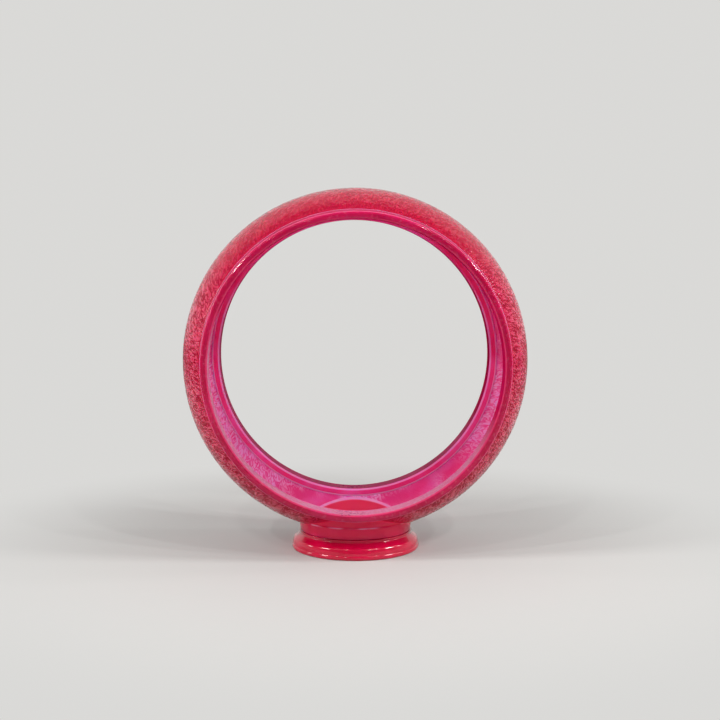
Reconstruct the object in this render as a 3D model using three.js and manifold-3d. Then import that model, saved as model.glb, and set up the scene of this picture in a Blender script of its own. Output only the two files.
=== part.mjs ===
// Ripple-glass globe body: an open upright ring on a short neck and a flared six inch foot.
// Millimetres, +Z up, front towards -Y. The origin is the centre of the foot's underside.

import * as THREE from 'three';
import { mergeVertices } from 'three/addons/utils/BufferGeometryUtils.js';
import Module from 'manifold-3d';

const wasm = await Module();
wasm.setup();

// Ring: its crown rises from the rims, and its lowest line would sink a little into the foot's height
const ringHalfDepth = 90.5;
const crownRise = 28.5;
const shellWall = 4;
const ringSink = 2.8;

// Smooth lens rims, one at each open side
const openingRadius = 167.5;
const rimWall = 8.5;
const rimLength = 28.5;
const rimGrooveWidth = 5;
const rimInnerRound = 2.4;
const rimFaceRound = 3.4;
const rimShoulderRound = 2.4;
const rimGrooveRound = 3;

// Flared foot ring that carries the neck
const footRadius = 76.2;
const footHeight = 22.3;
const footFlare = 9.3;
const skirtHeight = 12.9;
const skirtInset = 2.2;
const skirtRound = 4;
const grooveHeight = 5.4;
const grooveInset = 0.5;
const hemHeight = 3.8;
const hemTopRound = 1;
const hemRound = 1.8;
const flareFillet = 1.8;
const collarWall = 2;
const collarRun = 0.9;
const beadHeight = 2.8;
const beadReach = 0.9;
const beadRound = 0.8;
const ledgeHeight = 4;
const boreEdgeRound = 0.8;

// Neck, moulded with the ring, drawn in above the foot ring, with a spigot inside the foot ring's collar
const neckWall = 8.9;
const waistInset = 0.6;
const waistHeight = 2;
const waistRise = 5.2;
const spigotInset = 2.5;
const neckEndRound = 1;

// Soft seal between the neck's end and the foot ring's ledge
const sealThickness = 2;
const sealInset = 0.6;

// Fits
const seatGap = 0.3;
const cutOverrun = 12;

// Facets
const ringSegments = 72;
const neckSegments = 56;
const crownSteps = 10;
const cornerSteps = 3;
const smallestCurvedRound = 1.5;

// Derived sizes of the ring's section: the crown's inner arc runs from rim to rim
const rimRadius = openingRadius + rimWall;
const rimShoulder = ringHalfDepth - rimLength;
const ringRadius = rimRadius + crownRise;
const innerRise = crownRise - shellWall;
const innerCrownRadius = (innerRise ** 2 + rimShoulder ** 2) / (2 * innerRise);
const crownRadius = innerCrownRadius + shellWall;
const crownCentre = ringRadius - crownRadius;
const seatAngle = Math.asin(rimShoulder / innerCrownRadius);
const ringCentreHeight = footHeight + ringRadius - ringSink;

// Derived sizes of the neck and foot
const neckRadius = footRadius - footFlare;
const neckWaistRadius = neckRadius - waistInset;
const spigotRadius = neckRadius - spigotInset;
const boreRadius = neckRadius - neckWall;
const neckShoulderHeight = footHeight + seatGap;
const waistTopHeight = footHeight + waistHeight;
const neckEnd = ledgeHeight + sealThickness + 2 * seatGap;
const socketRadius = spigotRadius + seatGap;
const collarRadius = socketRadius + collarWall;
const beadBottom = footHeight - beadHeight;
const flareTopHeight = beadBottom - collarRun;

const corner = (x, y, round = 0) => ({ at: new THREE.Vector2(x, y), round });

// A point of the ring's crowned section: radius from the ring's axis, and place along it.
function crownPoint(radius, angle) {
  return new THREE.Vector2(crownCentre + radius * Math.cos(angle), radius * Math.sin(angle));
}

function crownArc(radius, from, to) {
  const points = [];
  for (let step = 0; step <= crownSteps; step++) {
    points.push(crownPoint(radius, from + (to - from) * step / crownSteps));
  }
  return points;
}

// The points that round off one corner between its two neighbours.
function roundedCorner(before, { at, round }, after) {
  if (round === 0) return [at];
  const back = before.at.clone().sub(at).normalize();
  const ahead = after.at.clone().sub(at).normalize();
  const halfAngle = Math.acos(THREE.MathUtils.clamp(back.dot(ahead), -1, 1)) / 2;
  const centre = at.clone().addScaledVector(back.clone().add(ahead).normalize(), round / Math.sin(halfAngle));
  const start = at.clone().addScaledVector(back, round / Math.tan(halfAngle)).sub(centre);
  const end = at.clone().addScaledVector(ahead, round / Math.tan(halfAngle)).sub(centre);
  const turn = Math.atan2(start.cross(end), start.dot(end));
  const steps = round < smallestCurvedRound ? 1 : cornerSteps;
  const points = [];
  for (let step = 0; step <= steps; step++) {
    points.push(start.clone().rotateAround(new THREE.Vector2(), turn * step / steps).add(centre));
  }
  return points;
}

function roundedOutline(corners) {
  return corners.flatMap((item, index) => {
    const before = corners.at(index - 1);
    const after = corners[(index + 1) % corners.length];
    return roundedCorner(before, item, after);
  });
}

// Revolves a closed outline about +Y. The outline runs anticlockwise, radius across and axis up.
function revolve(outline, segments) {
  const closed = [...outline, outline[0].clone()];
  return new THREE.LatheGeometry(closed, segments);
}

const standUp = (geometry) => geometry.rotateX(Math.PI / 2);

function toSolid(source) {
  const bare = source.clone();
  bare.deleteAttribute('normal');
  bare.deleteAttribute('uv');
  const merged = mergeVertices(bare);
  return new wasm.Manifold(new wasm.Mesh({
    numProp: 3,
    vertProperties: new Float32Array(merged.attributes.position.array),
    triVerts: new Uint32Array(merged.index.array),
  }));
}

function toGeometry(solid) {
  const { vertProperties, triVerts } = solid.getMesh();
  const geometry = new THREE.BufferGeometry();
  geometry.setAttribute('position', new THREE.BufferAttribute(vertProperties, 3));
  geometry.setIndex(new THREE.BufferAttribute(triVerts, 1));
  geometry.computeVertexNormals();
  return geometry;
}

// A rim's section at the rear. Its bevelled inboard corner carries the edge of the crowned shell.
function rimOutline() {
  const innerSeat = crownPoint(innerCrownRadius, seatAngle);
  const outerSeat = crownPoint(crownRadius, seatAngle);
  return roundedOutline([
    corner(openingRadius, rimShoulder, rimShoulderRound),
    corner(innerSeat.x, innerSeat.y),
    corner(outerSeat.x, outerSeat.y),
    corner(rimRadius, outerSeat.y + rimGrooveWidth, rimGrooveRound),
    corner(rimRadius, ringHalfDepth, rimFaceRound),
    corner(openingRadius, ringHalfDepth, rimInnerRound),
  ]);
}

// The room that a rim needs at the shell's edge: its bevel and groove, kept clear by the seat gap.
function rimRoom() {
  const innerSeat = crownPoint(innerCrownRadius, seatAngle);
  const outerSeat = crownPoint(crownRadius, seatAngle);
  const lift = seatGap / Math.cos(seatAngle);
  const sink = seatGap / Math.sin(seatAngle);
  const bevelSlope = (outerSeat.y - innerSeat.y) / (outerSeat.x - innerSeat.x);
  return [
    new THREE.Vector2(openingRadius, rimShoulder - seatGap),
    new THREE.Vector2(innerSeat.x + (lift - seatGap) / bevelSlope, rimShoulder - seatGap),
    new THREE.Vector2(outerSeat.x + seatGap, outerSeat.y - lift + seatGap * bevelSlope),
    new THREE.Vector2(outerSeat.x + seatGap, outerSeat.y + sink),
    new THREE.Vector2(outerSeat.x + seatGap, ringHalfDepth + cutOverrun),
    new THREE.Vector2(openingRadius, ringHalfDepth + cutOverrun),
  ];
}

function mirrored(outline) {
  return outline.map((point) => new THREE.Vector2(point.x, -point.y)).reverse();
}

// The crowned band, longer at both edges than it ends up, so that the rims' room trims it.
function crownedBand() {
  const reach = seatAngle + shellWall / crownRadius;
  const outer = crownArc(crownRadius, -reach, reach);
  const inner = crownArc(innerCrownRadius, reach, -reach);
  return toSolid(revolve([...outer, ...inner], ringSegments));
}

// The neck before it is trimmed to the ring, with its bore.
function neckBlank() {
  const top = ringCentreHeight - openingRadius;
  const outline = roundedOutline([
    corner(boreRadius, neckEnd, neckEndRound),
    corner(spigotRadius, neckEnd, neckEndRound),
    corner(spigotRadius, neckShoulderHeight),
    corner(neckWaistRadius, neckShoulderHeight),
    corner(neckWaistRadius, waistTopHeight),
    corner(neckRadius, waistTopHeight + waistRise),
    corner(neckRadius, top),
    corner(boreRadius, top),
  ]);
  return toSolid(standUp(revolve(outline, neckSegments)));
}

// The room inside the middle of the shell's wall, and straight on past the rims, where the neck stops.
function neckTrim() {
  const arc = crownArc(crownRadius - shellWall / 2, -seatAngle, seatAngle);
  const reach = ringHalfDepth + cutOverrun;
  const outline = [
    new THREE.Vector2(openingRadius / 2, -reach),
    new THREE.Vector2(arc[0].x, -reach),
    ...arc,
    new THREE.Vector2(arc[0].x, reach),
    new THREE.Vector2(openingRadius / 2, reach),
  ];
  return toSolid(revolve(outline, ringSegments)).translate([0, 0, ringCentreHeight]);
}

function neckBore() {
  const height = ringCentreHeight - openingRadius + cutOverrun;
  const cylinder = new THREE.CylinderGeometry(boreRadius, boreRadius, height, neckSegments);
  return toSolid(standUp(cylinder)).translate([0, 0, height / 2]);
}

function rippleShell() {
  const rearRoom = toSolid(revolve(rimRoom(), ringSegments)).translate([0, 0, ringCentreHeight]);
  const frontRoom = toSolid(revolve(mirrored(rimRoom()), ringSegments)).translate([0, 0, ringCentreHeight]);
  const band = crownedBand().translate([0, 0, ringCentreHeight]);
  const neck = neckBlank().subtract(neckTrim());
  return toGeometry(band.add(neck).subtract(neckBore()).subtract(rearRoom).subtract(frontRoom));
}

function rearLensRim() {
  return revolve(rimOutline(), ringSegments).translate(0, 0, ringCentreHeight);
}

function frontLensRim() {
  return revolve(mirrored(rimOutline()), ringSegments).translate(0, 0, ringCentreHeight);
}

// The foot ring: flat underside, rolled hem, sloping skirt, flare, and a rolled bead at the top.
function footRing() {
  return standUp(revolve(roundedOutline([
    corner(boreRadius, 0, boreEdgeRound),
    corner(footRadius, 0, hemRound),
    corner(footRadius, hemHeight, hemTopRound),
    corner(footRadius - grooveInset, grooveHeight),
    corner(footRadius - skirtInset, skirtHeight, skirtRound),
    corner(collarRadius, flareTopHeight, flareFillet),
    corner(collarRadius, beadBottom),
    corner(collarRadius + beadReach, beadBottom + beadReach, beadRound),
    corner(collarRadius + beadReach, footHeight, beadRound),
    corner(socketRadius, footHeight),
    corner(socketRadius, ledgeHeight),
    corner(boreRadius, ledgeHeight, boreEdgeRound),
  ]), neckSegments));
}

function neckSeal() {
  const bottom = ledgeHeight + seatGap;
  const outline = [
    new THREE.Vector2(boreRadius + sealInset, bottom),
    new THREE.Vector2(spigotRadius, bottom),
    new THREE.Vector2(spigotRadius, bottom + sealThickness),
    new THREE.Vector2(boreRadius + sealInset, bottom + sealThickness),
  ];
  return standUp(revolve(outline, neckSegments));
}

const rippleGlass = { color: 0xc4142f, roughness: 0.18, metalness: 0 };
const smoothGlass = { color: 0xb01040, roughness: 0.08, metalness: 0 };
const footRed = { color: 0xb3001f, roughness: 0.1, metalness: 0 };
const sealRubber = { color: 0x1c1a1a, roughness: 0.85, metalness: 0 };

function piece(name, geometry, look) {
  const mesh = new THREE.Mesh(geometry, new THREE.MeshStandardMaterial(look));
  mesh.name = name;
  return mesh;
}

const globeBody = new THREE.Group();
globeBody.add(piece('ripple_shell', rippleShell(), rippleGlass));
globeBody.add(piece('front_lens_rim', frontLensRim(), smoothGlass));
globeBody.add(piece('rear_lens_rim', rearLensRim(), smoothGlass));
globeBody.add(piece('foot_ring', footRing(), footRed));
globeBody.add(piece('neck_seal', neckSeal(), sealRubber));

export default globeBody;
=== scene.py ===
import math

import bmesh
import bpy
import numpy as np
from mathutils import Matrix, Vector


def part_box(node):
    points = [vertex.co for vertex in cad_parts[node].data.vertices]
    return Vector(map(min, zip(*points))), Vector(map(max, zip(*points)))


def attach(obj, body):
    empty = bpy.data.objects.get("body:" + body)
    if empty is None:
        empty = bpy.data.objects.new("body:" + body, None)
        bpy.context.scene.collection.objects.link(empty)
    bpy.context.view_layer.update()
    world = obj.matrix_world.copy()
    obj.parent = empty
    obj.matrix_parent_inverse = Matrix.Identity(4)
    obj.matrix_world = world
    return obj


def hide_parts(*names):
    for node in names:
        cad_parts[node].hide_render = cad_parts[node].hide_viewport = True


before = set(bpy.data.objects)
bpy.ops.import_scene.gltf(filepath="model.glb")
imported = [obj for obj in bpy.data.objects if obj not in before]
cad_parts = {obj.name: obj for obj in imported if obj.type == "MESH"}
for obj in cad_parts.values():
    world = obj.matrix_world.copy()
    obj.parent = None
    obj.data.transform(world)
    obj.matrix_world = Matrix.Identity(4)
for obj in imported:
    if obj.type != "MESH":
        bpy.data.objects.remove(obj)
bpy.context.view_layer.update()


# Drawing, spinning and joining, as by hand

drawing = {
    "seed": 0.002,     # the plane that is merged into an outline's first vertex
    "same": 1e-6,      # vertices nearer than this are one
    "profile": 0.5,    # bevels to a true round
    "hardEdge": 40,    # degrees from which an edge stays hard
}


def deselectAll():
    if bpy.context.object and bpy.context.object.mode != "OBJECT":
        bpy.ops.object.mode_set(mode="OBJECT")
    bpy.ops.object.select_all(action="DESELECT")


def pickPiece(piece):
    deselectAll()
    piece.select_set(True)
    bpy.context.view_layer.objects.active = piece


def pickVertices(piece, test):
    bpy.ops.mesh.select_mode(type="VERT")
    bpy.ops.mesh.select_all(action="DESELECT")
    shape = bmesh.from_edit_mesh(piece.data)
    for vertex in shape.verts:
        if test(vertex.co):
            vertex.select_set(True)
    shape.select_flush(True)
    bmesh.update_edit_mesh(piece.data)


def pickFaces(piece, test):
    bpy.ops.mesh.select_mode(type="FACE")
    bpy.ops.mesh.select_all(action="DESELECT")
    shape = bmesh.from_edit_mesh(piece.data)
    for face in shape.faces:
        if test(face.calc_center_median()):
            face.select_set(True)
    bmesh.update_edit_mesh(piece.data)


def isSame(at, spot):
    return (at - spot).length < drawing["same"]


# Draws a closed outline: a vertex is extruded from corner to corner, and corners with a round are bevelled.
# A corner is (across, along, round, segments, profile), and place turns across and along into a point.
def drawOutline(name, corners, place):
    deselectAll()
    bpy.ops.mesh.primitive_plane_add(size=drawing["seed"])
    piece = bpy.context.object
    piece.name = piece.data.name = name
    bpy.ops.object.mode_set(mode="EDIT")
    bpy.ops.mesh.select_mode(type="VERT")
    bpy.ops.mesh.select_all(action="SELECT")
    bpy.ops.mesh.merge(type="CENTER")
    spots = [place(corner[0], corner[1]) for corner in corners]
    bpy.ops.transform.translate(value=spots[0])
    for here, there in zip(spots, spots[1:]):
        bpy.ops.mesh.extrude_region_move(TRANSFORM_OT_translate={"value": there - here})
    pickVertices(piece, lambda at: isSame(at, spots[0]) or isSame(at, spots[-1]))
    bpy.ops.mesh.edge_face_add()
    for corner, spot in zip(corners, spots):
        if len(corner) > 2:
            pickVertices(piece, lambda at: isSame(at, spot))
            profile = corner[4] if len(corner) > 4 else drawing["profile"]
            bpy.ops.mesh.bevel(offset=corner[2], segments=corner[3], profile=profile, affect="VERTICES")
    return piece


# Spins an outline into a closed ring and points its faces outwards.
def spinRing(piece, centre, axis, steps):
    bpy.ops.mesh.select_all(action="SELECT")
    bpy.ops.mesh.spin(steps=steps, angle=2 * math.pi, center=centre, axis=axis)
    bpy.ops.mesh.select_all(action="SELECT")
    bpy.ops.mesh.remove_doubles(threshold=drawing["same"])
    bpy.ops.mesh.normals_make_consistent(inside=False)
    bpy.ops.object.mode_set(mode="OBJECT")
    return piece


def applyModifier(piece, modifier):
    pickPiece(piece)
    bpy.ops.object.modifier_apply(modifier=modifier.name)


def combine(piece, other, operation):
    modifier = piece.modifiers.new("combine", "BOOLEAN")
    modifier.operation = operation
    modifier.object = other
    modifier.solver = "EXACT"
    applyModifier(piece, modifier)
    bpy.data.objects.remove(other)


def smoothFaces(piece):
    pickPiece(piece)
    bpy.ops.object.shade_smooth_by_angle(angle=math.radians(drawing["hardEdge"]))


def dress(piece, finish):
    piece.data.materials.clear()
    piece.data.materials.append(finish)


# Node graphs written as expressions

class Signal:
    def __init__(self, graph, socket):
        self.graph = graph
        self.socket = socket

    def maths(self, operation, *others):
        return self.graph.add("ShaderNodeMath", {"operation": operation}, dict(enumerate((self, *others))))

    def __add__(self, other):
        return self.maths("ADD", other)

    __radd__ = __add__

    def __mul__(self, other):
        return self.maths("MULTIPLY", other)

    __rmul__ = __mul__

    def __sub__(self, other):
        return self.maths("SUBTRACT", other)

    def __rsub__(self, other):
        return self.graph.add("ShaderNodeMath", {"operation": "SUBTRACT"}, {0: other, 1: self})

    def __pow__(self, other):
        return self.maths("POWER", other)

    def __abs__(self):
        return self.maths("ABSOLUTE")

    def root(self):
        return self.maths("SQRT")

    # A soft step from 0 at low to 1 at high.
    def rise(self, low, high):
        inputs = {"Value": self, "From Min": low, "From Max": high}
        return self.graph.add("ShaderNodeMapRange", {"interpolation_type": "SMOOTHSTEP"}, inputs)

    # A soft step from 1 at low to 0 at high.
    def fall(self, low, high):
        return 1 - self.rise(low, high)


class Graph:
    def __init__(self, tree):
        self.tree = tree

    # Adds a node: its settings first, then the values or links of its sockets. Gives back one output.
    def add(self, kind, settings=None, inputs=None, output=0):
        node = self.tree.nodes.new(kind)
        for name, value in (settings or {}).items():
            setattr(node, name, value)
        for key, value in (inputs or {}).items():
            if isinstance(value, Signal):
                self.tree.links.new(value.socket, node.inputs[key])
            else:
                node.inputs[key].default_value = value
        return Signal(self, node.outputs[output]) if node.outputs else None

    # Gives the first colour where the amount is 0 and the second where it is 1.
    def blend(self, amount, first, second):
        first, second = [(*c, 1) if isinstance(c, tuple) else c for c in (first, second)]
        return self.add("ShaderNodeMix", {"data_type": "RGBA"}, {0: amount, 6: first, 7: second}, 2)

    def stretch(self, vector, scale):
        return self.add("ShaderNodeVectorMath", {"operation": "MULTIPLY"}, {0: vector, 1: scale})

    def shift(self, vector, offset):
        return self.add("ShaderNodeVectorMath", {"operation": "ADD"}, {0: vector, 1: offset})

    def noise(self, vector, scale, detail, distortion=0):
        inputs = {"Vector": vector, "Scale": scale, "Detail": detail, "Distortion": distortion}
        return self.add("ShaderNodeTexNoise", None, inputs, "Fac")

    def parts(self, vector):
        node = self.add("ShaderNodeSeparateXYZ", None, {0: vector}).socket.node
        return [Signal(self, socket) for socket in node.outputs]

    def place(self):
        return self.add("ShaderNodeTexCoord", None, None, "Object")

    def ray(self, kind):
        return self.add("ShaderNodeLightPath", None, None, f"Is {kind} Ray")

    def bump(self, height, distance):
        return self.add("ShaderNodeBump", None, {"Height": height, "Distance": distance})


def newFinish(name):
    finish = bpy.data.materials.new(name)
    finish.use_nodes = True
    finish.node_tree.nodes.clear()
    return finish, Graph(finish.node_tree)


def closeFinish(graph, inputs):
    shader = graph.add("ShaderNodeBsdfPrincipled", None, inputs)
    graph.add("ShaderNodeOutputMaterial", None, {"Surface": shader})


# Sizes of the ring's section, in metres

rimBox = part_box("front_lens_rim")
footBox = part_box("foot_ring")
ring = {
    "centre": (rimBox[0][2] + rimBox[1][2]) / 2,
    "halfDepth": -rimBox[0][1],
    "opening": 0.1675,      # radius
    "rimWall": 0.0085,
    "rimLength": 0.0285,
    "crownRise": 0.0285,    # from the rim's outside to the crown's top
    "wall": 0.004,
    "seatGap": 0.0003,
    "overrun": 0.01,        # how far a cutter goes past what it cuts
}
ring["rim"] = ring["opening"] + ring["rimWall"]
ring["shoulder"] = ring["halfDepth"] - ring["rimLength"]
innerRise = ring["crownRise"] - ring["wall"]
ring["innerCrown"] = (innerRise ** 2 + ring["shoulder"] ** 2) / (2 * innerRise)
ring["crown"] = ring["innerCrown"] + ring["wall"]
ring["crownCentre"] = ring["rim"] + ring["crownRise"] - ring["crown"]
ring["skin"] = ring["crown"] - ring["wall"] / 4    # what is further out than this is the outer skin
ring["seatAngle"] = math.asin(ring["shoulder"] / ring["innerCrown"])
middle = Vector((0, 0, ring["centre"]))


def onSection(across, along):
    return middle + Vector((across, along, 0))


def onProfile(across, up):
    return Vector((across, 0, up))


def crownPoint(radius, angle):
    return ring["crownCentre"] + radius * math.cos(angle), radius * math.sin(angle)


def crownArc(radius, start, end, steps):
    return [crownPoint(radius, start + (end - start) * step / steps) for step in range(steps + 1)]


# The ripple pattern, the same for the mesh and for the finish

ripple = {
    "width": 0.0044,       # across a worm
    "stretch": 0.48,       # how much longer it is along the ring's axis
    "detail": 0.5,
    "wander": 0.8,
    "groove": 0.31,
    "depth": 0.00032,
    "smoothFrom": 0.1796,  # the ring radius where the ripple gives way to the smooth border
    "smoothFade": 0.0014,
    "neckClear": 0.0685,   # the same round the neck's axis
    "neckFade": 0.004,
    "lean": 0.35,          # how far the worms lean round the ring along its axis
}


# 0 in a groove, where the noise is half, and 1 on a crest.
def rippleHeight(graph, at):
    across = 1 / ripple["width"]
    stretched = graph.stretch(at, (across, across * ripple["stretch"], across))
    worms = graph.noise(stretched, 1, ripple["detail"], ripple["wander"])
    grooves = abs(worms - 0.5) * 2
    return grooves.rise(0, ripple["groove"])


# Finishes

glassColour = {
    "crest": (0.490, 0.016, 0.074),
    "crestTopShade": (0.390, 0.006, 0.036),
    # painted shade for the ripple's grooves
    "groove": (0.240, 0.0006, 0.018),
    "warm": (0.560, 0.045, 0.105),
    "border": (0.420, 0.004, 0.034),
    # brighter red, partly the neck's own colour and partly painted light where the ring shades it
    "neck": (0.740, 0.004, 0.078),
    "bore": (0.900, 0.065, 0.160),
    # lighter and pinker than the outside: painted light coming through the red wall
    "inside": (0.880, 0.110, 0.400),
    "insideDeep": (0.840, 0.045, 0.250),
    # painted highlights and reflections, for the neck's ridge, the bore's lip, the rims' joints and the
    # trough
    "paintedHighlight": (0.920, 0.420, 0.760),
    "rim": (0.400, 0.006, 0.066),
    "rimDeep": (0.320, 0.002, 0.042),
    "rimHighlight": (0.740, 0.110, 0.240),
    # pale, for the painted sheen on the land and for wear on the rims' faces
    "rimWearAndSheen": (0.420, 0.150, 0.240),
    "rimMark": (0.120, 0.004, 0.050),
}
translucency = {"Subsurface Weight": 0.6, "Subsurface Radius": (1.0, 0.14, 0.40), "Subsurface Scale": 0.020}
gloss = {"IOR": 1.5, "Specular IOR Level": 0.06, "Coat Roughness": 0.11}


# A soft step given from a radius or depth of the ring's section.
def beyond(start, step):
    return start + step[0], start + step[1]


# Lengths are in metres. A step is where a soft step starts and ends, and a noise is its scale, detail and
# distortion.
rippleLook = {
    "neckTopStep": (0.046, 0.047),           # above the floor
    "neckStep": (0.0673, 0.0677),            # from the neck's axis
    "boreStep": (0.0600, 0.0606),
    "lipStep": (0.0580, 0.0588),
    "lipEndStep": (0.0600, 0.0612),
    "lipHighlight": 0.8,
    "troughStep": (-0.0024, -0.0016),        # from the crown's radius
    "topStep": (0.06, 0.15),                 # above the ring's centre, where the ripple is painted darker: painted shade on the top
    "topShade": 0.5,
    "warmth": (22, 3),
    "warmthStep": (0.45, 0.75),
    "warmthAmount": 0.6,
    "ridgeStep": (0.0344, 0.0350),           # above the floor
    "ridgeEndStep": (0.0358, 0.0364),
    "ridgeBreaks": (45, 1),
    "ridgeBreaksStep": (0.44, 0.60),
    "ridgeHighlight": 0.6,
    "clouds": (34, 4, 0.4),
    "cloudsStep": (0.35, 0.7),
    "seenShift": (0.013, 0.004, 0.007),      # keeps the ripple seen inside off the one outside
    "paintedReflections": (17, 2),
    "paintedReflectionsStep": (0.44, 0.62),
    "paintedReflectionsAmount": 0.75,
    "sideTopStep": (-0.03, 0.00),            # from the ring's centre, for the painted reflections low on both sides inside
    "sideBottomStep": (-0.14, -0.10),
    "sideStep": (0.10, 0.13),
    "smudges": (60, 3),
    "smudgesStep": (0.4, 0.75),
    "waves": (90, 1),
    "bump": 0.00030,
    "outsideBump": 0.42,
    "insideBump": 0.35,
    "wavesBump": 0.08,
    "roughness": 0.12,
    "rippleRoughness": 0.06,
    "smudgesRoughness": 0.06,
    "smoothCoat": 0.5,
    "rippleCoat": 0.85,
}


def rippleGlass():
    look = rippleLook
    finish, graph = newFinish("ripple_glass")
    place = graph.place()
    x, y, z = graph.parts(place)
    up = z - ring["centre"]
    reach = (x * x + up * up).root()
    section = ((reach - ring["crownCentre"]) ** 2 + y * y).root()
    fromAxis = (x * x + y * y).root()
    low = z.fall(*look["neckTopStep"])
    nearNeck = fromAxis.fall(*look["neckStep"]) * low
    inTrough = section.fall(*beyond(ring["crown"], look["troughStep"]))
    inBore = fromAxis.fall(*look["boreStep"]) * low
    inside = inTrough.maths("MAXIMUM", inBore)

    at = graph.add("ShaderNodeAttribute", {"attribute_name": "rippleAt"}, None, "Vector")
    mask = graph.add("ShaderNodeAttribute", {"attribute_name": "rippleMask"}, None, "Fac")
    height = rippleHeight(graph, at)
    # Towards the top the crests are painted deeper and the grooves less dark: painted shade against the
    # brighter light from above.
    top = up.rise(*look["topStep"])
    shade = height.maths("MAXIMUM", top * look["topShade"])
    warmth = graph.noise(place, *look["warmth"]).rise(*look["warmthStep"])
    crest = graph.blend(warmth * look["warmthAmount"], glassColour["crest"], glassColour["warm"])
    crest = graph.blend(top, crest, glassColour["crestTopShade"])
    # The grooves are painted darker than the crests: painted shade in the ripple's hollows.
    outside = graph.blend(shade, glassColour["groove"], crest)
    outside = graph.blend(mask, glassColour["border"], outside)
    # The neck's part of the shell is painted brighter red: partly its own colour, partly painted light where
    # the ring shades it.
    outside = graph.blend(nearNeck, outside, glassColour["neck"])
    # A pale broken line round the neck's ridge: a painted highlight where the ring keeps the lamps off it.
    ridge = z.rise(*look["ridgeStep"]) * z.fall(*look["ridgeEndStep"])
    ridge = ridge * graph.noise(place, *look["ridgeBreaks"]).rise(*look["ridgeBreaksStep"])
    outside = graph.blend(nearNeck * ridge * look["ridgeHighlight"], outside, glassColour["paintedHighlight"])

    # The inside is painted lighter and pinker than the outside: painted light coming through the red wall,
    # varied at random.
    clouds = graph.noise(place, *look["clouds"]).rise(*look["cloudsStep"])
    inner = graph.blend(clouds, glassColour["insideDeep"], glassColour["inside"])
    seen = rippleHeight(graph, graph.shift(at, look["seenShift"]))
    # Pale patches inside that follow the ripple seen through the wall, strongest low on both sides: painted
    # reflections of the lamps.
    paintedReflections = graph.noise(place, *look["paintedReflections"]).rise(*look["paintedReflectionsStep"])
    lowSideReflections = up.fall(*look["sideTopStep"]) * up.rise(*look["sideBottomStep"])
    lowSideReflections = lowSideReflections * abs(x).rise(*look["sideStep"])
    paintedReflections = paintedReflections.maths("MAXIMUM", lowSideReflections)
    inner = graph.blend(paintedReflections * seen * look["paintedReflectionsAmount"], inner, glassColour["paintedHighlight"])
    inner = graph.blend(inBore, inner, glassColour["bore"])
    # A pale line round the bore's rounded edge: a painted highlight.
    lip = fromAxis.rise(*look["lipStep"]) * fromAxis.fall(*look["lipEndStep"]) * low
    inner = graph.blend(lip * look["lipHighlight"], inner, glassColour["paintedHighlight"])

    smudges = graph.noise(place, *look["smudges"]).rise(*look["smudgesStep"])
    roughness = look["roughness"] + (mask + inTrough) * look["rippleRoughness"]
    waves = graph.noise(place, *look["waves"])
    relief = height * mask * look["outsideBump"] + seen * inTrough * look["insideBump"]
    closeFinish(graph, {
        "Base Color": graph.blend(inside, outside, inner),
        "Roughness": roughness + smudges * look["smudgesRoughness"],
        "Coat Weight": (1 - mask) * look["smoothCoat"] + mask * shade * look["rippleCoat"],
        "Normal": graph.bump(relief + waves * look["wavesBump"], look["bump"]),
        **translucency, **gloss,
    })
    return finish


rimLook = {
    "clouds": (28, 3),
    "cloudsStep": (0.35, 0.7),
    "landStep": (0.0004, 0.0014),            # from the opening's radius, as are the next four
    "groundStep": (0.0010, 0.0024),
    "brinkStep": (0.0012, 0.0020),
    "cornerStep": (0.0001, 0.0003),
    "cornerEndStep": (0.0016, 0.0024),
    "lineStep": (-0.0012, -0.0004),          # from the rim's radius, as is the next
    "jointStep": (-0.0016, -0.0010),
    "lineDepthStep": (-0.0036, -0.0024),     # from the lens face, as is the next
    "edgeStep": (-0.0026, -0.0012),
    "withinStep": (0.0015, 0.0040),          # from the rim's shoulder, as is the next
    "cornerDepthStep": (0.0014, 0.0022),
    "frontStep": (-0.01, 0.0),
    "rearStep": (0.0, 0.01),
    "frost": (320, 3),
    "frostStep": (0.35, 0.65),
    "frostAmount": 0.35,
    "paleAmount": 0.65,
    "paleRear": 0.5,
    "paleLean": 0.4,
    "paleTopStep": (-0.06, 0.02),            # above the ring's centre, as is the next
    "cornerTopStep": (0.05, 0.11),
    "outerHighlightAmount": 0.4,
    "brinkAmount": 0.3,
    "jointHighlightAmount": 0.75,
    "specks": (330, 1),
    "specksStep": (0.56, 0.62),
    "specksLeft": 0.006,                     # how far they are left of the middle
    "specksSideStep": (0.010, 0.022),
    "specksTopStep": (0.060, 0.066),         # above the floor
    "specksAmount": 0.8,
    "rub": (210, 3),
    "rubStep": (0.52, 0.7),
    "rubAmount": 0.15,
    "waves": (55, 2),
    "bump": 0.00025,
    "roughness": 0.11,
    "rubRoughness": 0.06,
    "cloudsRoughness": 0.03,
    "paleRoughness": 0.35,
    "coat": 0.6,
}


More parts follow.
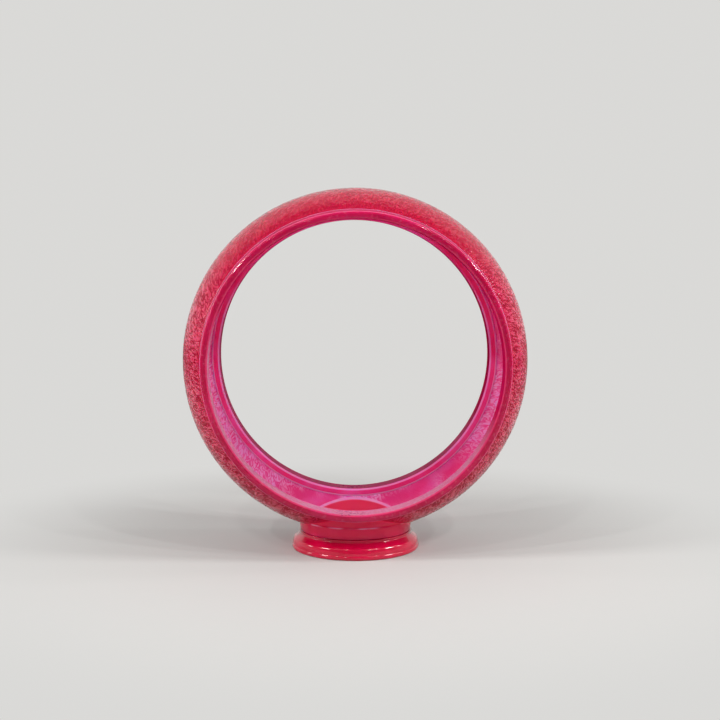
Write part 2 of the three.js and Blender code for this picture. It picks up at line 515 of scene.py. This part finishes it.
# The land is the rim's inside, the ground a little more of it, and what lies within is seen from the trough.
def smoothGlass():
    look = rimLook
    finish, graph = newFinish("smooth_glass")
    place = graph.place()
    x, y, z = graph.parts(place)
    up = z - ring["centre"]
    reach = (x * x + up * up).root()
    depth = abs(y)
    rear = y.rise(*look["rearStep"])
    land = reach.fall(*beyond(ring["opening"], look["landStep"]))
    ground = reach.fall(*beyond(ring["opening"], look["groundStep"]))
    edge = depth.rise(*beyond(ring["halfDepth"], look["edgeStep"]))

    clouds = graph.noise(place, *look["clouds"])
    cloudy = clouds.rise(*look["cloudsStep"])
    colour = graph.blend(cloudy, glassColour["rimDeep"], glassColour["rim"])
    frost = graph.noise(place, *look["frost"]).rise(*look["frostStep"])
    # The land is painted pale low down and towards the left, less on the rear rim: a painted reflection of
    # the bright light, broken up by the land's own frost.
    pale = land * (1 - edge) * (1 - rear * look["paleRear"])
    pale = pale * (up + x * look["paleLean"]).fall(*look["paleTopStep"])
    sheenAndFrost = pale * (look["paleAmount"] + frost * look["frostAmount"])
    colour = graph.blend(sheenAndFrost, colour, glassColour["rimWearAndSheen"])
    # A pale line round the rim's outer round: a painted highlight.
    line = reach.rise(*beyond(ring["rim"], look["lineStep"]))
    line = line * depth.rise(*beyond(ring["halfDepth"], look["lineDepthStep"]))
    colour = graph.blend(line * look["outerHighlightAmount"], colour, glassColour["rimHighlight"])
    # A fainter pale line at the front face's inner edge: a painted highlight.
    brink = reach.fall(*beyond(ring["opening"], look["brinkStep"])) * edge * y.fall(*look["frontStep"])
    colour = graph.blend(brink * look["brinkAmount"], colour, glassColour["rimHighlight"])
    specks = graph.noise(place, *look["specks"]).rise(*look["specksStep"])
    specks = specks * abs(x + look["specksLeft"]).fall(*look["specksSideStep"])
    specks = specks * z.fall(*look["specksTopStep"])
    colour = graph.blend(land * specks * look["specksAmount"], colour, glassColour["rimMark"])

    # What the trough sees of the rim takes the inside's colours: painted light coming through the red wall.
    within = depth.fall(*beyond(ring["shoulder"], look["withinStep"]))
    inner = graph.blend(cloudy, glassColour["insideDeep"], glassColour["inside"])
    colour = graph.blend(within, colour, inner)
    # Pale lines at the rim's joint with the shell and low on the rear rim's inner corner: painted
    # highlights.
    joint = within * reach.rise(*beyond(ring["rim"], look["jointStep"]))
    corner = reach.rise(*beyond(ring["opening"], look["cornerStep"]))
    corner = corner * reach.fall(*beyond(ring["opening"], look["cornerEndStep"]))
    corner = corner * depth.fall(*beyond(ring["shoulder"], look["cornerDepthStep"])) * rear
    corner = corner * up.fall(*look["cornerTopStep"])
    jointHighlights = joint.maths("MAXIMUM", corner)
    colour = graph.blend(jointHighlights * look["jointHighlightAmount"], colour, glassColour["paintedHighlight"])

    rub = graph.noise(place, *look["rub"]).rise(*look["rubStep"])
    colour = graph.blend(rub * edge * look["rubAmount"], colour, glassColour["rimWearAndSheen"])
    roughness = look["roughness"] + rub * edge * look["rubRoughness"] + clouds * look["cloudsRoughness"]
    waves = graph.noise(place, *look["waves"])
    closeFinish(graph, {
        "Base Color": colour,
        "Roughness": roughness + pale * look["paleRoughness"],
        "Coat Weight": (1 - ground) * look["coat"],
        "Normal": graph.bump(waves, look["bump"]),
        **translucency, **gloss, "Specular IOR Level": 0.0,
    })
    return finish


footLook = {
    "red": (0.560, 0.001, 0.044),
    "deepRed": (0.450, 0.0003, 0.028),
    "rubbed": (0.420, 0.150, 0.240),
    "clouds": (30, 3),
    "cloudsStep": (0.35, 0.7),
    "rub": (190, 3),
    "rubStep": (0.54, 0.7),
    "rubTopStep": (0.0004, 0.0020),          # above the floor
    "rubAmount": 0.5,
    "waves": (60, 2),
    "bump": 0.00018,
    "roughness": 0.11,
    "cloudsRoughness": 0.03,
    "rubRoughness": 0.3,
    "coat": 1.0,
}


def footPaint():
    look = footLook
    finish, graph = newFinish("foot_red")
    place = graph.place()
    z = graph.parts(place)[2]
    clouds = graph.noise(place, *look["clouds"])
    colour = graph.blend(clouds.rise(*look["cloudsStep"]), look["deepRed"], look["red"])
    rub = graph.noise(place, *look["rub"]).rise(*look["rubStep"]) * z.fall(*look["rubTopStep"])
    colour = graph.blend(rub * look["rubAmount"], colour, look["rubbed"])
    roughness = look["roughness"] + clouds * look["cloudsRoughness"] + rub * look["rubRoughness"]
    waves = graph.noise(place, *look["waves"])
    closeFinish(graph, {
        "Base Color": colour,
        "Roughness": roughness,
        "Coat Weight": look["coat"],
        "Normal": graph.bump(waves, look["bump"]),
        **gloss,
    })
    return finish


sealLook = {
    "black": (0.010, 0.009, 0.009),
    "grey": (0.022, 0.020, 0.019),
    "dusty": (0.060, 0.055, 0.050),
    "grain": (900, 3),
    "dust": (70, 4),
    "dustStep": (0.5, 0.75),
    "dustAmount": 0.3,
    "bump": 0.00008,
    "roughness": 0.75,
    "grainRoughness": 0.2,
}


def sealRubber():
    look = sealLook
    finish, graph = newFinish("seal_rubber")
    place = graph.place()
    grain = graph.noise(place, *look["grain"])
    dust = graph.noise(place, *look["dust"]).rise(*look["dustStep"])
    colour = graph.blend(grain, look["black"], look["grey"])
    colour = graph.blend(dust * look["dustAmount"], colour, look["dusty"])
    closeFinish(graph, {
        "Base Color": colour,
        "Roughness": look["roughness"] + grain * look["grainRoughness"],
        "Normal": graph.bump(grain, look["bump"]),
    })
    return finish


# Ripple shell: the crowned band with its neck moulded on

shell = {
    "columns": 228,
    "rows": 24,
    "borderRows": 2,
    "innerRows": 12,
    "fineCuts": 3,                   # cuts in the edges of the rippled faces
    "fineClear": 0.074,              # faces nearer the neck's axis than this aren't cut
    "fineMargin": 0.0002,
    "edgeRound": (0.0007, 3),        # a round is its radius and its segments
    "neckSteps": 144,
    "neckBottom": 0.0066,
    "bottomRound": (0.001, 3),
    "spigot": 0.0644,
    "waist": 0.0663,
    "waistFrom": 0.0226,
    "waistFromRound": (0.0004, 3),
    "waistTo": 0.0243,
    "waistToRound": (0.001, 3),
    "neck": 0.0669,
    "neckFrom": 0.0295,
    "neckRound": (0.002, 4),
    "neckMargin": 0.0004,            # what is this much further out isn't the neck
    "ridge": 0.0355,
    "ridgeRound": (0.0011, 6),
    "ridgeInset": 0.0009,
    "ridgeInsetRound": (0.0006, 3),
    "roomEdge": 0.0012,              # how far the room for the neck turns in beside the rims' seats
    "bore": 0.0580,
    "lipRadius": 0.0020,
    "lipSweep": 77,                  # degrees
    "lipSteps": 7,
    "lipRunOut": 4,                  # steps that the lip goes straight on, past the trough's floor
}


def makeBand():
    end = ring["seatAngle"] - ring["seatGap"] / ring["crown"]
    rippleEnd = math.acos((ripple["smoothFrom"] - ring["crownCentre"]) / ring["crown"])
    outer = crownArc(ring["crown"], -end, -rippleEnd, shell["borderRows"])[:-1]
    outer += crownArc(ring["crown"], -rippleEnd, rippleEnd, shell["rows"])
    outer += crownArc(ring["crown"], rippleEnd, end, shell["borderRows"])[1:]
    inner = crownArc(ring["innerCrown"], end, -end, shell["innerRows"])
    corners = outer + inner
    for index in (0, len(outer) - 1, len(outer), len(corners) - 1):
        corners[index] += shell["edgeRound"]
    band = drawOutline("ripple_glass_shell", corners, onSection)
    return spinRing(band, middle, (0, 1, 0), shell["columns"])


# The neck as a plug, cut off inside the middle of the shell's wall and clear of the rims.
def makeNeck():
    inset = shell["neck"] - shell["ridgeInset"]
    top = ring["centre"] - ring["opening"]
    neck = drawOutline("neck", [
        (0, shell["neckBottom"]),
        (shell["spigot"], shell["neckBottom"], *shell["bottomRound"]),
        (shell["spigot"], shell["waistFrom"]),
        (shell["waist"], shell["waistFrom"], *shell["waistFromRound"]),
        (shell["waist"], shell["waistTo"], *shell["waistToRound"]),
        (shell["neck"], shell["neckFrom"], *shell["neckRound"]),
        (shell["neck"], shell["ridge"], *shell["ridgeRound"]),
        (inset, shell["ridge"] + shell["ridgeInset"], *shell["ridgeInsetRound"]),
        (inset, top),
        (0, top),
    ], onProfile)
    spinRing(neck, (0, 0, 0), (0, 0, 1), shell["neckSteps"])
    arc = crownArc(ring["crown"] - ring["wall"] / 2, -ring["seatAngle"], ring["seatAngle"], shell["rows"])
    clear = crownPoint(ring["crown"], ring["seatAngle"])[0] + ring["seatGap"]
    low = ring["opening"] / 2
    past = ring["halfDepth"] + ring["overrun"]
    room = drawOutline("room", [
        (low, -past), (clear, -past), (clear, arc[0][1] - shell["roomEdge"]), *arc,
        (clear, arc[-1][1] + shell["roomEdge"]), (clear, past), (low, past),
    ], onSection)
    spinRing(room, middle, (0, 1, 0), shell["columns"])
    combine(neck, room, "DIFFERENCE")
    return neck


# How high the trough's floor stands at a place in the neck's bore.
def troughFloor(x, y):
    reach = ring["crownCentre"] + math.sqrt(ring["innerCrown"] ** 2 - y * y)
    return ring["centre"] - math.sqrt(reach ** 2 - x * x)


# The bore's cutter opens out at its top, and so rounds the bore's edge along the trough's curved floor.
def makeBoreCutter():
    bore, edge, steps = shell["bore"], shell["lipRadius"], shell["lipSteps"]
    turns = [math.radians(shell["lipSweep"] * step / steps) for step in range(steps + 1)]
    lip = [(bore + edge * (1 - math.cos(turn)), -edge * (1 - math.sin(turn))) for turn in turns]
    slope = (lip[-1][0] - lip[-2][0], lip[-1][1] - lip[-2][1])
    lip.append((lip[-1][0] + slope[0] * shell["lipRunOut"], lip[-1][1] + slope[1] * shell["lipRunOut"]))
    low = -ring["overrun"]
    high = 1.0   # lifts the lip out of the way until its vertices are laid on the trough's floor
    corners = [(0, low), (bore, low), *((across, high + up) for across, up in lip)]
    corners.append((0, high + 2 * ring["overrun"]))
    cutter = drawOutline("bore", corners, onProfile)
    spinRing(cutter, (0, 0, 0), (0, 0, 1), shell["neckSteps"])
    for vertex in cutter.data.vertices:
        if vertex.co.z > high / 2:
            onAxis = math.hypot(vertex.co.x, vertex.co.y) < bore / 2
            floor = ring["centre"] - ring["opening"] if onAxis else troughFloor(vertex.co.x, vertex.co.y)
            vertex.co.z += floor - high
    return cutter


# Lays the outer skin on its true curve, and stores where each vertex is on it and how much it ripples.
def placeRipple(piece):
    count = len(piece.data.vertices)
    spots = np.empty(count * 3)
    piece.data.vertices.foreach_get("co", spots)
    spots = spots.reshape(-1, 3)
    x, y, up = spots[:, 0], spots[:, 1], spots[:, 2] - ring["centre"]
    reach = np.hypot(x, up)
    section = np.hypot(reach - ring["crownCentre"], y)
    fromNeck = np.where(up < 0, np.hypot(x, y), 1.0)
    outside = (section > ring["skin"]) & (fromNeck > shell["neck"] + shell["neckMargin"])
    scale = np.where(outside, ring["crown"] / section, 1.0)
    newReach = ring["crownCentre"] + (reach - ring["crownCentre"]) * scale
    spots[:, 0] = x * newReach / reach
    spots[:, 1] = y * scale
    spots[:, 2] = up * newReach / reach + ring["centre"]
    piece.data.vertices.foreach_set("co", spots.ravel())

    turn = np.arctan2(spots[:, 2] - ring["centre"], spots[:, 0])
    lean = np.arctan2(spots[:, 1], newReach - ring["crownCentre"])
    outerRadius = ring["crownCentre"] + ring["crown"]
    turn = turn + ripple["lean"] * lean * ring["crown"] / outerRadius
    at = np.stack([outerRadius * np.cos(turn), ring["crown"] * lean, outerRadius * np.sin(turn)], 1)
    fade = np.clip((newReach - ripple["smoothFrom"]) / ripple["smoothFade"], 0, 1)
    clear = np.clip((fromNeck - ripple["neckClear"]) / ripple["neckFade"], 0, 1)
    mask = np.where(outside, fade * clear, 0)
    mask = mask * mask * (3 - 2 * mask)
    stored = (("rippleAt", "FLOAT_VECTOR", "vector", at), ("rippleMask", "FLOAT", "value", mask))
    for name, kind, field, values in stored:
        attribute = piece.data.attributes.new(name, kind, "POINT")
        attribute.data.foreach_set(field, np.ascontiguousarray(values, dtype=np.float32).ravel())


# Presses the ripple's grooves into the outer skin.
def pressRipple(piece):
    tree = bpy.data.node_groups.new("pressRipple", "GeometryNodeTree")
    tree.interface.new_socket("Geometry", in_out="INPUT", socket_type="NodeSocketGeometry")
    tree.interface.new_socket("Geometry", in_out="OUTPUT", socket_type="NodeSocketGeometry")
    graph = Graph(tree)
    mesh = graph.add("NodeGroupInput")
    stored = "GeometryNodeInputNamedAttribute"
    at = graph.add(stored, {"data_type": "FLOAT_VECTOR"}, {"Name": "rippleAt"}, "Attribute")
    mask = graph.add(stored, {"data_type": "FLOAT"}, {"Name": "rippleMask"}, "Attribute")
    push = (rippleHeight(graph, at) - 1) * mask * ripple["depth"]
    normal = graph.add("GeometryNodeInputNormal")
    offset = graph.add("ShaderNodeVectorMath", {"operation": "SCALE"}, {0: normal, "Scale": push})
    moved = graph.add("GeometryNodeSetPosition", None, {"Geometry": mesh, "Offset": offset})
    graph.add("NodeGroupOutput", None, {0: moved})
    modifier = piece.modifiers.new("ripple", "NODES")
    modifier.node_group = tree
    applyModifier(piece, modifier)


def inRippleZone(at):
    up = at.z - ring["centre"]
    reach = math.hypot(at.x, up)
    if up < 0 and math.hypot(at.x, at.y) < shell["fineClear"]:
        return False
    section = math.hypot(reach - ring["crownCentre"], at.y)
    return section > ring["skin"] and reach > ripple["smoothFrom"] - shell["fineMargin"]


def makeShell():
    band = makeBand()
    combine(band, makeNeck(), "UNION")
    combine(band, makeBoreCutter(), "DIFFERENCE")
    pickPiece(band)
    bpy.ops.object.mode_set(mode="EDIT")
    pickFaces(band, inRippleZone)
    bpy.ops.mesh.subdivide(number_cuts=shell["fineCuts"])
    bpy.ops.object.mode_set(mode="OBJECT")
    placeRipple(band)
    smoothFaces(band)
    pressRipple(band)
    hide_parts("ripple_shell")
    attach(band, "root")
    return band


# Lens rims

rims = {
    "steps": 288,
    "groove": 0.005,
    "innerRound": (0.0024, 6),           # a round is its radius, its segments and its profile
    "faceRound": (0.0028, 8, 0.42),
    "shoulderRound": (0.0024, 6),
    "grooveRound": (0.0030, 5),
    "seatRound": (0.0003, 2),
}


def makeRim(name, node, side):
    innerSeat = crownPoint(ring["innerCrown"], ring["seatAngle"])
    outerSeat = crownPoint(ring["crown"], ring["seatAngle"])
    corners = [
        (ring["opening"], ring["shoulder"], *rims["shoulderRound"]),
        (*innerSeat, *rims["seatRound"]),
        (*outerSeat, *rims["seatRound"]),
        (ring["rim"], outerSeat[1] + rims["groove"], *rims["grooveRound"]),
        (ring["rim"], ring["halfDepth"], *rims["faceRound"]),
        (ring["opening"], ring["halfDepth"], *rims["innerRound"]),
    ]
    corners = [(across, side * along, *rounded) for across, along, *rounded in corners]
    rim = drawOutline(name, corners, onSection)
    spinRing(rim, middle, (0, 1, 0), rims["steps"])
    smoothFaces(rim)
    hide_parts(node)
    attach(rim, "root")
    return rim


# Foot ring

foot = {
    "steps": 192,
    "radius": 0.0762,
    "height": footBox[1][2],
    "hem": 0.0043,
    "hemRound": (0.0018, 6),             # a round is its radius and its segments
    "hemTopRound": (0.0009, 6),
    "groove": 0.00505,
    "grooveInset": 0.00075,
    "grooveRound": (0.0002, 2),
    "skirtMiddle": 0.0085,
    "skirtMiddleRound": (0.0016, 4),
    "skirt": 0.0129,
    "skirtInset": 0.0022,
    "skirtRound": (0.0013, 8),
    "collar": 0.0667,
    "flareTop": 0.0186,
    "flareRound": (0.0008, 5),
    "beadBottom": 0.0195,
    "beadReach": 0.0009,
    "beadBottomRound": (0.00052, 3),
    "beadRound": (0.0013, 7),
    "socket": 0.0647,
    "socketRound": (0.0003, 2),
    "ledge": 0.0040,
    "boreRound": (0.0008, 3),
}


def makeFoot():
    bead = foot["collar"] + foot["beadReach"]
    valley = foot["radius"] - foot["grooveInset"]
    piece = drawOutline("foot_ring_polished", [
        (shell["bore"], 0, *foot["boreRound"]),
        (foot["radius"], 0, *foot["hemRound"]),
        (foot["radius"], foot["hem"], *foot["hemTopRound"]),
        (valley, foot["groove"], *foot["grooveRound"]),
        (valley, foot["skirtMiddle"], *foot["skirtMiddleRound"]),
        (foot["radius"] - foot["skirtInset"], foot["skirt"], *foot["skirtRound"]),
        (foot["collar"], foot["flareTop"], *foot["flareRound"]),
        (foot["collar"], foot["beadBottom"]),
        (bead, foot["beadBottom"] + foot["beadReach"], *foot["beadBottomRound"]),
        (bead, foot["height"], *foot["beadRound"]),
        (foot["socket"], foot["height"], *foot["socketRound"]),
        (foot["socket"], foot["ledge"]),
        (shell["bore"], foot["ledge"], *foot["boreRound"]),
    ], onProfile)
    spinRing(piece, (0, 0, 0), (0, 0, 1), foot["steps"])
    smoothFaces(piece)
    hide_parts("foot_ring")
    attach(piece, "root")
    return piece


# Floor, light and camera

stage = {
    "sides": 96,
    "radius": 9,
    "floor": (0.480, 0.476, 0.462),
    "floorGrain": (0.460, 0.452, 0.436),
    "backdrop": (0.70, 0.695, 0.68),
    "farStep": (0.24, 0.60),     # from the object, where the floor turns into the backdrop
    "grain": (40, 3),
    "grainAmount": 0.3,
    "roughness": 0.7,
    "specular": 0.2,
}


def makeFloor():
    deselectAll()
    bpy.ops.mesh.primitive_circle_add(vertices=stage["sides"], radius=stage["radius"], fill_type="NGON")
    floor = bpy.context.object
    floor.name = "floor"
    finish, graph = newFinish("pale_floor")
    place = graph.place()
    x, y = graph.parts(place)[:2]
    far = (x * x + y * y).root().rise(*stage["farStep"])
    grain = graph.noise(place, *stage["grain"])
    colour = graph.blend(grain * stage["grainAmount"], stage["floor"], stage["floorGrain"])
    near = graph.add("ShaderNodeBsdfPrincipled", None, {
        "Base Color": colour,
        "Roughness": stage["roughness"],
        "Specular IOR Level": stage["specular"],
    })
    even = graph.add("ShaderNodeEmission", None, {"Color": (*stage["backdrop"], 1), "Strength": 1.0})
    mixed = graph.add("ShaderNodeMixShader", None, {0: far * graph.ray("Camera"), 1: near, 2: even})
    graph.add("ShaderNodeOutputMaterial", None, {"Surface": mixed})
    floor.data.materials.append(finish)


# Turn and lift are in degrees, from the front and from the floor. A reflected ray sees the backdrop behind
# the object and, near the horizon, at its sides. Elsewhere it sees the dim light.
studio = {
    "white": (1, 1, 1),
    "fill": 0.385,
    "dim": 0.12,
    "behindStep": (0.22, 0.42),
    "aboveStep": (0.1, 0.4),
    "asideStep": (0.3, 0.7),
    "target": (0, 0, 0.2),
    "softboxes": [
        {"turn": -67, "lift": 36, "away": 1.9, "size": (0.46, 0.16), "power": 20},
        {"turn": 73, "lift": 35, "away": 1.9, "size": (0.46, 0.16), "power": 20},
        {"turn": -94, "lift": 17, "away": 1.9, "size": (0.10, 0.60), "power": 3.5},
        {"turn": 94, "lift": 30, "away": 1.9, "size": (0.10, 0.80), "power": 5.0},
    ],
    "spots": [
        {"turn": -41, "lift": 42, "away": 2.1, "size": (0.06, 0.06), "power": 6.5},
        {"turn": -20, "lift": 42, "away": 2.1, "size": (0.06, 0.06), "power": 4.5},
        {"turn": 30.5, "lift": 42, "away": 2.1, "size": (0.06, 0.06), "power": 6.5},
        {"turn": 44.5, "lift": 42, "away": 2.1, "size": (0.06, 0.06), "power": 6.5},
    ],
}


def makeLamp(name, lamp):
    turn, lift = math.radians(lamp["turn"]), math.radians(lamp["lift"])
    aim = Vector((math.sin(turn) * math.cos(lift), -math.cos(turn) * math.cos(lift), math.sin(lift)))
    data = bpy.data.lights.new(name, "AREA")
    data.shape = "RECTANGLE"
    data.size, data.size_y = lamp["size"]
    data.energy = lamp["power"]
    holder = bpy.data.objects.new(name, data)
    bpy.context.scene.collection.objects.link(holder)
    holder.location = Vector(studio["target"]) + aim * lamp["away"]
    holder.rotation_euler = aim.to_track_quat("Z", "Y").to_euler()
    holder.visible_camera = False


def makeWorld():
    world = bpy.data.worlds.new("studio")
    bpy.context.scene.world = world
    world.use_nodes = True
    world.node_tree.nodes.clear()
    graph = Graph(world.node_tree)

    def glow(colour, strength):
        return graph.add("ShaderNodeBackground", None, {"Color": (*colour, 1), "Strength": strength})

    x, y, z = graph.parts(graph.add("ShaderNodeTexCoord", None, None, "Generated"))
    lowAside = abs(z).fall(*studio["aboveStep"]) * abs(x).rise(*studio["asideStep"])
    around = y.rise(*studio["behindStep"]).maths("MAXIMUM", lowAside)
    glossyRay = graph.ray("Glossy")
    shown = graph.ray("Camera").maths("MAXIMUM", graph.ray("Transmission"))
    shown = shown.maths("MAXIMUM", glossyRay * around)
    light = glow(studio["white"], studio["fill"])
    dim = glow(studio["white"], studio["dim"])
    lit = graph.add("ShaderNodeMixShader", None, {0: glossyRay, 1: light, 2: dim})
    backdrop = glow(stage["backdrop"], 1.0)
    mixed = graph.add("ShaderNodeMixShader", None, {0: shown, 1: lit, 2: backdrop})
    graph.add("ShaderNodeOutputWorld", None, {"Surface": mixed})


sight = {
    "photoWidth": 720,       # pixels, as are distance, right and up
    "distance": 1282.6,      # at the ring's centre
    "right": -4.61,
    "up": -0.78,
    "pixel": 0.001191,       # metres at the ring's centre
    "pitch": 5.7,            # degrees, as is yaw
    "yaw": 1.0,
    "sensor": 36,            # millimetres
}


def makeCamera():
    pitch, yaw = math.radians(sight["pitch"]), math.radians(sight["yaw"])
    ahead = Vector((math.sin(yaw) * math.cos(pitch), math.cos(yaw) * math.cos(pitch), -math.sin(pitch)))
    right = Vector((math.cos(yaw), -math.sin(yaw), 0))
    up = right.cross(ahead)
    data = bpy.data.cameras.new("camera")
    data.sensor_width = sight["sensor"]
    data.lens = sight["sensor"] * sight["distance"] / sight["photoWidth"]
    camera = bpy.data.objects.new("camera", data)
    bpy.context.scene.collection.objects.link(camera)
    step = -ahead * sight["distance"] - right * sight["right"] - up * sight["up"]
    place = middle + step * sight["pixel"]
    camera.matrix_world = Matrix.Translation(place) @ Matrix((right, up, -ahead)).transposed().to_4x4()
    bpy.context.scene.camera = camera


# Making it

print("camera and stage")
makeCamera()
makeFloor()
makeWorld()
for number, lamp in enumerate(studio["softboxes"]):
    makeLamp(f"softbox{number}", lamp)
for number, lamp in enumerate(studio["spots"]):
    makeLamp(f"spot{number}", lamp)
bpy.context.scene.view_settings.view_transform = "Standard"

print("finishes")
smooth = smoothGlass()

print("ripple shell")
dress(makeShell(), rippleGlass())

print("lens rims")
dress(makeRim("front_rim_glass", "front_lens_rim", -1), smooth)
dress(makeRim("rear_rim_glass", "rear_lens_rim", 1), smooth)

print("foot ring and seal")
dress(makeFoot(), footPaint())
dress(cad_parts["neck_seal"], sealRubber())
